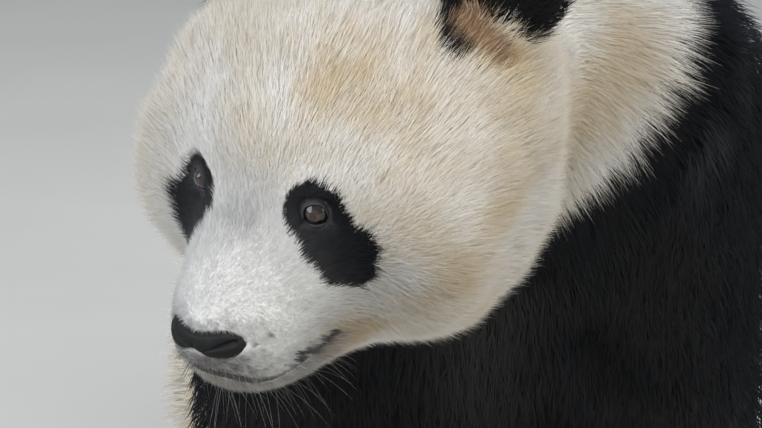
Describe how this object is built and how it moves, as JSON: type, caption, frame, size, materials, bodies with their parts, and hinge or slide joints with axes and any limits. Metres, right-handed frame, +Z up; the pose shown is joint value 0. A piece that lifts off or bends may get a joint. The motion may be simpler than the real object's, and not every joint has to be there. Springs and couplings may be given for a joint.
{
  "type": "giant panda",
  "caption": "Life-size still model of an adult giant panda standing on all fours, its head lowered and turned to its right, with a short furry coat.",
  "frame": {"origin": "on the floor, under the middle of the panda's outline", "axes": "+Z up, the panda faces -Y and its left side is +X, so +Y runs from the nose to the tail"},
  "size_m": [0.5034, 1.4538, 0.7782],
  "materials": {
    "white_fur": "dense cream-white fur",
    "black_fur": "dense black fur",
    "nose_skin": "moist pebbled skin",
    "eye": "wet gloss",
    "claw": "worn horn"
  },
  "bodies": {
    "root": {"chest": "black_fur", "ear_left": "black_fur", "ear_right": "black_fur", "eye_left": "eye", "eye_right": "eye", "fore_claw_left_1": "claw", "fore_claw_left_2": "claw", "fore_claw_left_3": "claw", "fore_claw_left_4": "claw", "fore_claw_left_5": "claw", "fore_claw_right_1": "claw", "fore_claw_right_2": "claw", "fore_claw_right_3": "claw", "fore_claw_right_4": "claw", "fore_claw_right_5": "claw", "foreleg_left": "black_fur", "foreleg_right": "black_fur", "forepaw_left": "black_fur", "forepaw_right": "black_fur", "head": "white_fur", "hind_claw_left_1": "claw", "hind_claw_left_2": "claw", "hind_claw_left_3": "claw", "hind_claw_left_4": "claw", "hind_claw_left_5": "claw", "hind_claw_right_1": "claw", "hind_claw_right_2": "claw", "hind_claw_right_3": "claw", "hind_claw_right_4": "claw", "hind_claw_right_5": "claw", "hind_foot_left": "black_fur", "hind_foot_right": "black_fur", "hind_leg_left": "black_fur", "hind_leg_right": "black_fur", "lower_jaw": "white_fur", "neck": "white_fur", "nose_pad": "nose_skin", "tail": "white_fur", "trunk": "white_fur"}
  },
  "joints": []
}
